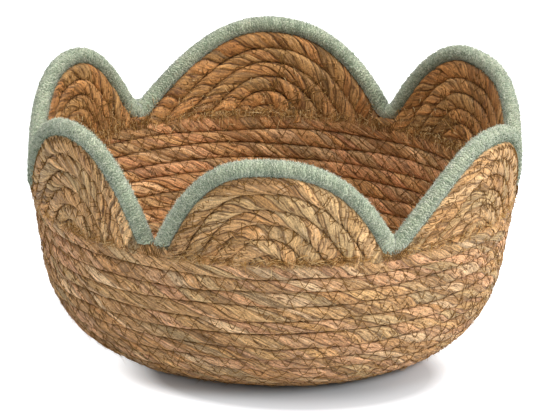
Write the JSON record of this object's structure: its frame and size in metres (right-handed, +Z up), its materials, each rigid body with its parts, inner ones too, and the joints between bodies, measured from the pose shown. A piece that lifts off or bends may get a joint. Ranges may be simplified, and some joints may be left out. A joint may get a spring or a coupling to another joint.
{
  "type": "storage basket",
  "caption": "Round, low storage basket coiled and sewn from twisted leaf rope, with a scalloped edge of nested rope arches under a yarn-bound rim.",
  "frame": {"origin": "middle of the flat base, on the surface that the basket stands on", "axes": "+Z up; -Y towards the front petal; +X to the right seen from the front"},
  "size_m": [0.3153, 0.3235, 0.1654],
  "materials": {
    "leaf_rope": "dry matte twisted leaf, straw to golden brown, sewn in courses",
    "rim_yarn": "soft sage-green cotton yarn, close diagonal wrap",
    "core_rope": "plain leaf rope, hidden by the yarn",
    "sewing_thread": "thin olive-brown sewing thread, zigzag stitched"
  },
  "bodies": {
    "root": {"base_coil": "leaf_rope", "wall_coil_low": "leaf_rope", "wall_coil_middle": "leaf_rope", "wall_coil_high": "leaf_rope", "rim_binding_yarn": "rim_yarn", "rim_core_rope": "core_rope", "petal_front_arch_1": "leaf_rope", "petal_front_arch_2": "leaf_rope", "petal_front_arch_3": "leaf_rope", "petal_front_arch_4": "leaf_rope", "petal_front_arch_5": "leaf_rope", "petal_front_core": "leaf_rope", "petal_right_front_arch_1": "leaf_rope", "petal_right_front_arch_2": "leaf_rope", "petal_right_front_arch_3": "leaf_rope", "petal_right_front_arch_4": "leaf_rope", "petal_right_front_arch_5": "leaf_rope", "petal_right_front_core": "leaf_rope", "petal_right_back_arch_1": "leaf_rope", "petal_right_back_arch_2": "leaf_rope", "petal_right_back_arch_3": "leaf_rope", "petal_right_back_arch_4": "leaf_rope", "petal_right_back_arch_5": "leaf_rope", "petal_right_back_core": "leaf_rope", "petal_back_arch_1": "leaf_rope", "petal_back_arch_2": "leaf_rope", "petal_back_arch_3": "leaf_rope", "petal_back_arch_4": "leaf_rope", "petal_back_arch_5": "leaf_rope", "petal_back_core": "leaf_rope", "petal_left_back_arch_1": "leaf_rope", "petal_left_back_arch_2": "leaf_rope", "petal_left_back_arch_3": "leaf_rope", "petal_left_back_arch_4": "leaf_rope", "petal_left_back_arch_5": "leaf_rope", "petal_left_back_core": "leaf_rope", "petal_left_front_arch_1": "leaf_rope", "petal_left_front_arch_2": "leaf_rope", "petal_left_front_arch_3": "leaf_rope", "petal_left_front_arch_4": "leaf_rope", "petal_left_front_arch_5": "leaf_rope", "petal_left_front_core": "leaf_rope"}
  },
  "joints": []
}
